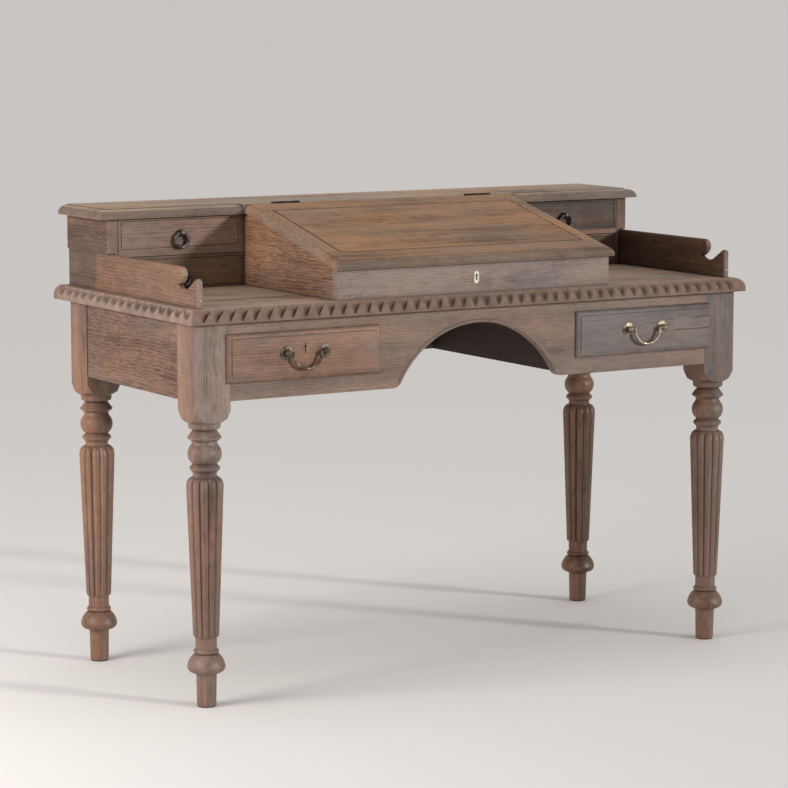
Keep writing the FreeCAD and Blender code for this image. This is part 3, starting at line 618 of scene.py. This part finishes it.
boards = {
    "desk_top": dict(along="x", tone=PALE, silver=0.25, rings=0.4, grain=0.55, sheen=-0.10, dust=0.2,
                     carved=True),
    "case_top": dict(along="x", tone=SAND, silver=0.15, rings=0.3, grain=0.6, sheen=-0.16,
                     sides=((*FRONT, RIM, 0.9), (*LEFT, RIM, 0.9))),
    "case_end_left": dict(along="y", tone=UMBER, silver=0.10, rings=0.5, grain=0.8,
                          sides=((*FRONT, FAWN, 0.8),)),
    "case_end_right": dict(along="y", tone=UMBER, silver=0.25, rings=0.5, grain=0.8),
    "case_back": dict(along="x", tone=BROWN, rings=0.5),
    "case_shelves": dict(along="x", tone=RED, silver=0.35, rings=0.3, grain=0.6),
    "gallery_left": dict(along="y", tone=ORANGE, silver=0.12, rings=0.6, grain=0.6,
                         sides=((*FRONT, SILVER, 0.8),), stain=(1, 0.176, 0.186, 0.9, DUN)),
    # Painted shade: the right gallery's very dark tone stands in for the shade on its inner face.
    "gallery_right": dict(along="y", tone=RUSSET, silver=0.05, rings=0.5, sides=((*FRONT, SILVER, 0.8),)),
    "slope_front": dict(along="x", tone=SILVER, silver=0.50, rings=0.25, grain=0.55),
    "slope_side_left": dict(along="y", tone=GINGER, silver=0.08, rings=0.9),
    "slope_side_right": dict(along="y", tone=BROWN, silver=0.25, rings=0.6),
    "lid_panel": dict(LID, along="x", silver=0.10),
    "lid_rail_front": dict(LID, along="x", silver=0.25, sides=((*FRONT, RIM, 0.85),)),
    "lid_rail_back": dict(LID, along="x", silver=0.15, sides=((*LEFT, FAWN, 0.6),)),
    "lid_stile_left": dict(LID, along="y", silver=0.15, sides=((*LEFT, FAWN, 0.6),)),
    "lid_stile_right": dict(LID, along="y", silver=0.15),
    # Painted light: the lighter band at the top of the apron softens the shadow under the top's overhang.
    "front_apron": dict(along="x", tone=APRON, silver=0.25, grain=0.6, stain=(2, 0.742, 0.757, 0.3, GREY)),
    "arch_bead": dict(along="x", tone=APRON, silver=0.25, rings=0.2, grain=0.6),
    "side_apron_left": dict(along="y", tone=BROWN, silver=0.15, rings=0.6),
    "side_apron_right": dict(along="y", tone=BROWN, silver=0.25, rings=0.6),
    # Painted shade on the back apron's inner face, which looks into the kneehole.
    "back_apron": dict(along="x", tone=BROWN, silver=0.25, rings=0.6, sides=((*FRONT, PAINTED_SHADE, 0.95),)),
    # Painted shade: the kneehole's partitions are painted nearly black.
    "kneehole_partitions": dict(along="y", tone=scaled(PAINTED_SHADE, 0.45), silver=0.0, rings=0.5, grain=0.8),
    "left_drawer_front": dict(along="x", tone=RED, silver=0.25, grain=0.5),
    "right_drawer_front": dict(along="x", tone=ASH, silver=0.55, rings=0.3, grain=0.55,
                               checks=((0.455, 0.681, 0.0013), (0.505, 0.704, 0.0011))),
    "upper_left_drawer_front": dict(SMALL_FRONT, tone=FAWN, silver=0.30),
    # Painted shade: the upper right drawer front is darkened for the light that the slope box blocks.
    "upper_right_drawer_front": dict(SMALL_FRONT, tone=scaled(PAINTED_SHADE, 0.65), silver=0.08),
    "lower_left_drawer_front": dict(SMALL_FRONT, tone=NUT, silver=0.10),
    "lower_right_drawer_front": dict(SMALL_FRONT, tone=UMBER, silver=0.10),
}
leg_tones = {
    "front_left": (GREY, DEEP, 0.30),
    # Painted shade: the front right post is darkened for the light that falls off towards the right.
    "front_right": (scaled(GREY, 0.43), DEEP, 0.25),
    "back_left": (BROWN, scaled(DEEP, 0.86), 0.25),
    # Painted shade: the back right leg's shaft is darkened as if it stood in the desk's shade.
    "back_right": (BROWN, scaled(DEEP, 0.47), 0.15),
}
for corner, (post_tone, shaft_tone, silver) in leg_tones.items():
    shaft = (2, SHAFT_START, SHAFT_FULL, 0.90, shaft_tone)
    boards["leg_" + corner] = dict(LEG, tone=post_tone, silver=silver, stain=shaft)
print(len(boards), "boards have a tone")

# %% [markdown]
# ## A finish for every solid
# The boards' place in the list is their seed. Everything else is told from its name: handles, hinges,
# plates, and the bare wood of the drawers' insides, with its grain across or from front to back.

# %% Finishes by node
finishes = {}
for index, (node, board) in enumerate(boards.items()):
    finishes[node] = teak("teak_" + node, seed=index + 1.0, **board)
inner_boards = {}
for along, seed in (("x", 41.0), ("y", 43.0)):
    inner_boards[along] = teak("teak_inside_" + along, along, BARE, seed, silver=0.15, rings=0.5, grain=0.7,
                               worn=0.4)


def other_finish(node):
    if "bail" in node:
        return brass_bright if node.startswith("right") else brass_grey
    if "handle_posts" in node:
        return brass_dull if node.startswith("right") else brass_grey
    if node == "left_drawer_keyhole_plate":
        return brass_brown
    if "hinge" in node:
        return iron_black
    if node == "slope_keyhole_plate":
        return bone("bone_plate")
    if "pull" in node or "lock" in node:
        return iron_grey
    return inner_boards["x" if node.endswith(("back", "bottom")) else "y"]


for node in nodes:
    if node not in finishes:
        finishes[node] = other_finish(node)
    slots = nodes[node].data.materials
    slots.clear()
    slots.append(finishes[node])
print(len(set(finishes.values())), "finishes on", len(finishes), "solids")

# %% [markdown]
# ## From a shape to a piece
# A finished shape becomes an object that rides one body of the frame. Corners sharper than the crease stay
# sharp, and weighted normals keep flat faces flat in the light. A copy of a solid brings its stored normals
# along. They no longer fit the new faces, so they are dropped.

# %% Pieces
CREASE = 50

body_of = {}
for body, members in frame["record"]["behaviour"]["bodies"].items():
    body_of.update({member: body for member in members})


def add_piece(name, shape, body, finish, crease=CREASE):
    bmesh.ops.recalc_face_normals(shape, faces=shape.faces)
    mesh = bpy.data.meshes.new(name)
    shape.to_mesh(mesh)
    shape.free()
    old_normals = mesh.attributes.get("custom_normal")
    if old_normals:
        mesh.attributes.remove(old_normals)
    mesh.shade_smooth()
    mesh.set_sharp_from_angle(angle=math.radians(crease))
    mesh.materials.append(finish)
    piece = bpy.data.objects.new(name, mesh)
    bpy.context.scene.collection.objects.link(piece)
    even = piece.modifiers.new("even_light", "WEIGHTED_NORMAL")
    even.keep_sharp = True
    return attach(piece, body)


print(len(body_of), "nodes have a body")

# %% [markdown]
# ## Eased boards
# No edge on an old desk is knife sharp: a plane stroke, then a hundred years of sleeves, leave it round.
# Each board is copied from its solid, its loose triangles are welded, flat ground is made one face again,
# and the outer edges are bevelled. Where boards of one solid meet, they are welded one by one and their
# joint stays tight.

# %% Welding and easing
LIP_REACH = 9.5 * MM
RUN_GAP = 0.3 * MM
WELD = 0.002 * MM
SAME_PLACE = 0.01 * MM
CLOSE = 0.1 * MM
UNDER_FACE = 0.5 * MM
FLAT = math.radians(0.4)
CORNER = math.radians(32)

left_inner_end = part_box("left_drawer_front")[1].x
right_inner_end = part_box("right_drawer_front")[0].x
joint_planes = {
    "front_apron": (0, (left_inner_end - LIP_REACH, right_inner_end + LIP_REACH)),
    "case_shelves": (2, (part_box("upper_left_drawer_box")[0].z - RUN_GAP,)),
}


def welded(node):
    """One closed mesh from a solid's loose triangles, or one for each side of its joint planes."""
    shape = bmesh.new()
    shape.from_mesh(nodes[node].data)
    axis, planes = joint_planes.get(node, (0, ()))
    boards_met = {}
    for face in shape.faces:
        inside = face.calc_center_median()[axis] - face.normal[axis] * UNDER_FACE
        side = sum(inside > plane for plane in planes)
        boards_met.setdefault(side, set()).update(face.verts)
    for verts in boards_met.values():
        bmesh.ops.remove_doubles(shape, verts=list(verts), dist=WELD)
    bmesh.ops.dissolve_limit(shape, angle_limit=FLAT, verts=shape.verts, edges=shape.edges, delimit=set())
    return shape


def outer_corners(shape, node, behind):
    """Edges to round: sharp ones, but none in a joint, and with a plane none behind it or round the foot."""
    axis, planes = joint_planes.get(node, (0, ()))
    foot = min(vert.co.z for vert in shape.verts) + CLOSE
    corners = []
    for edge in shape.edges:
        if len(edge.link_faces) != 2 or not edge.is_convex or edge.calc_face_angle() < CORNER:
            continue
        spots = [vert.co for vert in edge.verts]
        if behind is not None:
            if min(spot.y for spot in spots) > behind - CLOSE or max(spot.z for spot in spots) < foot:
                continue
        if any(all(abs(spot[axis] - plane) < CLOSE for spot in spots) for plane in planes):
            continue
        corners.append(edge)
    return corners


def eased(node, width, segments=2, behind=None, seam=None):
    """A copy of a board with its outer edges rounded over. A seam is a finish for the rounded part."""
    shape = welded(node)
    if behind is not None:
        everything = shape.verts[:] + shape.edges[:] + shape.faces[:]
        bmesh.ops.bisect_plane(shape, geom=everything, dist=SAME_PLACE, plane_co=(0, behind, 0),
                               plane_no=(0, 1, 0))
    corners = outer_corners(shape, node, behind)
    count = len(corners)
    bmesh.ops.bevel(shape, geom=corners, offset=width, offset_type="OFFSET", segments=segments, profile=0.5,
                    affect="EDGES", clamp_overlap=behind is None, material=1 if seam else -1)
    piece = add_piece(node + "_eased", shape, body_of[node], finishes[node])
    if seam:
        piece.data.materials.append(seam)
    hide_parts(node)
    return count


print(len(joint_planes), "solids have joint planes")

# %% [markdown]
# ## Every board eased
# The lid's parts are rounded most, and the bevel round its panel is dark, like an open joint. Drawer fronts
# keep crisp edges. The galleries' free ends are rounded like a handrail, up to where they run along the
# case.

# %% Eased copies
SEAM = (0.060, 0.040, 0.030)
GALLERY_ROUND = 5.2 * MM
GALLERY_SEGMENTS = 4
PLAIN_EASE = 1.1
FRONT_EASE = 0.6
EASE_MM = {
    "lid_panel": 3.0,
    "lid_stile_left": 1.8,
    "lid_stile_right": 1.8,
    "lid_rail_front": 1.8,
    "lid_rail_back": 1.4,
    "slope_front": 1.4,
}

seam_finish = teak("teak_seam", "x", SEAM, 47.0, silver=0.0)
case_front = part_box("case_end_left")[0].y
for node in boards:
    if node.startswith("leg") or node in ("desk_top", "arch_bead"):
        continue
    if node.startswith("gallery"):
        count = eased(node, GALLERY_ROUND, GALLERY_SEGMENTS, behind=case_front)
    else:
        ease = FRONT_EASE if node.endswith("drawer_front") else EASE_MM.get(node, PLAIN_EASE)
        count = eased(node, ease * MM, seam=seam_finish if node == "lid_panel" else None)
    print(node, "eased along", count, "edges")

# %% [markdown]
# ## The carved edge of the top
# The top is rounded over above a plain band, and the round is carved into slanting lobes, a border called
# gadroon. The carver cuts one hollow after another with a gouge, each wider at its head than at its foot,
# and the wood left between them reads as a row of drops. First comes the section of the plain edge, in
# millimetres.

# %% Section of the edge
UNDER_INSET = 40.0
ARRIS = 0.8
BAND_HEIGHT = 3.2
ROUND_FOOT = (0.0, 4.0)
ROUND_MIDDLE = (4.64, 20.685)
ROUND_HEAD = (16.0, 27.5)
FLAT_INSET = 22.0
ROUND_STEPS = 13


def circle_through(first, second, third):
    """Centre and radius of the circle through three points."""
    points = (first, second, third)
    squares = [x ** 2 + y ** 2 for x, y in points]
    rises = (second[1] - third[1], third[1] - first[1], first[1] - second[1])
    runs = (third[0] - second[0], first[0] - third[0], second[0] - first[0])
    spread = 2 * sum(point[0] * rise for point, rise in zip(points, rises))
    centre_x = sum(square * rise for square, rise in zip(squares, rises)) / spread
    centre_y = sum(square * run for square, run in zip(squares, runs)) / spread
    return Vector((centre_x, centre_y)), math.hypot(first[0] - centre_x, first[1] - centre_y)


def edge_section():
    """Rows from the underside to the top: inset, height, and on the round its share and the way inward."""
    rows = [(UNDER_INSET, 0.0, None), (ARRIS, 0.0, None), (0.0, ARRIS, None), (0.0, BAND_HEIGHT, None)]
    centre, radius = circle_through(ROUND_FOOT, ROUND_MIDDLE, ROUND_HEAD)
    first, last = [math.atan2(point[1] - centre.y, point[0] - centre.x) % (2 * math.pi)
                   for point in (ROUND_FOOT, ROUND_HEAD)]
    for step in range(ROUND_STEPS + 1):
        share = step / ROUND_STEPS
        turn = first + (last - first) * share
        inset = max(centre.x + radius * math.cos(turn), 0.0)
        rise = centre.y + radius * math.sin(turn)
        rows.append((inset, rise, (share, -math.cos(turn), -math.sin(turn))))
    rows.append((FLAT_INSET, ROUND_HEAD[1], None))
    return rows


section = edge_section()
print("the edge has", len(section), "rows")

# %% [markdown]
# ## One hollow
# A hollow is steep on one side and runs out gently on the other. All of them lean one way round the board,
# with a little of the carver's unsteady hand, and die out just before the corners.

# %% Hollows
LEAN = 0.60
DEEPEST = 0.32
FOOT_WIDTH = 0.25
HEAD_WIDTH = 1.15
HEAD_SHARE = 0.92
FULLNESS = 0.55
CORNER_PLAIN = 4 * MM
CORNER_FULL = 22 * MM
HAND_WAVES = ((0.035, 61.0), (0.02, 147.0))


def limited(value):
    return min(max(value, 0.0), 1.0)


def hollow(along, run, share):
    """How deep the gouge goes at a place along one run and up the round, from 0 to 1."""
    away = limited((min(along, run.length - along) - CORNER_PLAIN) / (CORNER_FULL - CORNER_PLAIN))
    reach = away * away * (3 - 2 * away)
    wobble = sum(size * math.sin(along * pace) for size, pace in HAND_WAVES)
    phase = (along / run.pitch - LEAN * share + wobble) % 1.0
    behind = (1 - phase) / (FOOT_WIDTH + (HEAD_WIDTH - FOOT_WIDTH) * share)
    off_middle = (DEEPEST - behind) / DEEPEST if behind < DEEPEST else (behind - DEEPEST) / (1 - DEEPEST)
    across = max(1 - off_middle ** 2, 0.0)
    rise = math.sin(math.pi * limited((share - run.foot) / (HEAD_SHARE - run.foot))) ** FULLNESS
    return reach * across * rise


print("a hollow is", round(HEAD_WIDTH / FOOT_WIDTH, 1), "times as wide at its head as at its foot")

# %% [markdown]
# ## The carved board
# A grid follows the front and both ends. Its points first lie on the plain round, and then sink into the
# hollows, so the carving never stands out of the board it was cut from. The depth at each point is kept as
# an attribute, which the finish reads to paint shade into the hollows. Three large faces then close the
# board.

# %% Carved top
TOP_LOW, TOP_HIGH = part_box("desk_top")[:2]
LOBE_STEPS = 16
LOBE_PITCH = 27.5 * MM
END_PITCH = 34.5 * MM
FRONT_FOOT = -0.08
END_FOOT = 0.14
CARVE_DEPTH = 7.0 * MM
ROUND_MARK = 0.3
CARVED_CREASE = 60


class Run:
    """One side that the carving follows: its columns in the grid, its size, and where its points lie."""

    def __init__(self, first, length, pitch, foot, place):
        self.first = first
        self.steps = round(length / LOBE_PITCH) * LOBE_STEPS
        self.last = first + self.steps
        self.length = length
        self.pitch = pitch
        self.foot = foot
        self.place = place


def on_left_end(inset, share):
    near = TOP_LOW.y + inset
    return TOP_LOW.x + inset, TOP_HIGH.y + (near - TOP_HIGH.y) * share


def on_front(inset, share):
    return (TOP_LOW.x + inset) * (1 - 2 * share), TOP_LOW.y + inset


def on_right_end(inset, share):
    near = TOP_LOW.y + inset
    return TOP_HIGH.x - inset, near + (TOP_HIGH.y - near) * share


def lay_grid(shape, runs):
    """Bends a flat grid round three sides, sinks its hollows, and numbers its points row by row."""
    columns = runs[-1].last
    last_row = len(section) - 1
    bmesh.ops.create_grid(shape, x_segments=columns, y_segments=last_row, size=0.5)
    carve = shape.verts.layers.float.new("carve")
    for vert in shape.verts:
        column = round((vert.co.x + 0.5) * columns)
        row = round((vert.co.y + 0.5) * last_row)
        run = next(run for run in runs if column <= run.last)
        share_along = (column - run.first) / run.steps
        inset, height, round_part = section[row]
        inset *= MM
        height *= MM
        if 0 < row < last_row:
            vert[carve] = ROUND_MARK
        if round_part:
            share, inward, downward = round_part
            deep = hollow(share_along * run.length, run, share)
            inset += inward * CARVE_DEPTH * deep
            height += downward * CARVE_DEPTH * deep
            # The depth kept here is read by the finish for painted shade in the hollows.
            vert[carve] = ROUND_MARK + (1 - ROUND_MARK) * deep
        vert.co = (*run.place(inset, share_along), TOP_LOW.z + height)
        vert.index = row * (columns + 1) + column
    return columns, last_row * (columns + 1)


def close_board(shape, columns, top_row):
    """Fills the underside, the top and the back. The two last rows run from index 0 and from top_row."""
    by_index = {vert.index: vert for vert in shape.verts}
    open_edges = [edge for edge in shape.edges if edge.is_boundary]
    low_edges = [edge for edge in open_edges if all(vert.index <= columns for vert in edge.verts)]
    high_edges = [edge for edge in open_edges if all(vert.index >= top_row for vert in edge.verts)]
    back_edges = [edge for edge in open_edges if edge not in low_edges and edge not in high_edges]
    closing = []
    for first in (0, top_row):
        ends = [by_index[first], by_index[first + columns]]
        closing += bmesh.ops.contextual_create(shape, geom=ends)["edges"][:1]
    bmesh.ops.edgeloop_fill(shape, edges=low_edges + closing[:1])
    bmesh.ops.edgeloop_fill(shape, edges=high_edges + closing[1:])
    bmesh.ops.edgeloop_fill(shape, edges=back_edges + closing)


def carved_top():
    width = TOP_HIGH.x - TOP_LOW.x
    depth = TOP_HIGH.y - TOP_LOW.y
    left = Run(0, depth, END_PITCH, END_FOOT, on_left_end)
    front = Run(left.last, width, LOBE_PITCH, FRONT_FOOT, on_front)
    right = Run(front.last, depth, END_PITCH, END_FOOT, on_right_end)
    shape = bmesh.new()
    columns, top_row = lay_grid(shape, (left, front, right))
    close_board(shape, columns, top_row)
    faces = len(shape.faces)
    piece = add_piece("carved_top", shape, body_of["desk_top"], finishes["desk_top"],
                      CARVED_CREASE)
    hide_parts("desk_top")
    return columns, faces


columns, faces = carved_top()
print("carved top:", columns, "steps along the edge,", faces, "faces")

# %% [markdown]
# ## Pin heads
# Four bright pins hold the old joints: one in the front end of each gallery board, and two in the slope's
# front. Each is a dome with a thin rim, turned by spinning half its outline once round its axis.

# %% Pins
PIN_RADIUS = 1.7 * MM
PIN_RISE = 0.9 * MM
PIN_STEPS = 20
DOME_STEPS = 5
PIN_ABOVE_TOP = 16 * MM
PIN_BELOW_LID = 7 * MM
PIN_FROM_MIDDLE = 310 * MM


def add_pin(shape, place):
    outline = []
    for step in range(DOME_STEPS + 1):
        turn = math.pi / 2 * step / DOME_STEPS
        outline.append((PIN_RADIUS * math.sin(turn), -PIN_RISE * math.cos(turn)))
    outline.append((PIN_RADIUS, PIN_RISE))
    spots = [shape.verts.new((place.x + out, place.y + rise, place.z)) for out, rise in outline]
    edges = [shape.edges.new(pair) for pair in zip(spots, spots[1:])]
    bmesh.ops.spin(shape, geom=spots + edges, cent=place, axis=(0, 1, 0), angle=2 * math.pi, steps=PIN_STEPS)


pin_places = []
slope_low, slope_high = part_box("slope_front")[:2]
for gallery, sign in (("gallery_left", -1), ("gallery_right", 1)):
    low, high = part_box(gallery)[:2]
    pin_places.append(Vector(((low.x + high.x) / 2, low.y, low.z + PIN_ABOVE_TOP)))
    pin_places.append(Vector((sign * PIN_FROM_MIDDLE, slope_low.y, slope_high.z - PIN_BELOW_LID)))
pins = bmesh.new()
for place in pin_places:
    add_pin(pins, place)
bmesh.ops.remove_doubles(pins, verts=pins.verts, dist=SAME_PLACE)
pin_metal = dull_metal("pin_metal", (0.72, 0.70, 0.66), (0.45, 0.42, 0.38), 0.30, 5)
add_piece("pin_heads", pins, "carcase", pin_metal)
print(len(pin_places), "pins set")
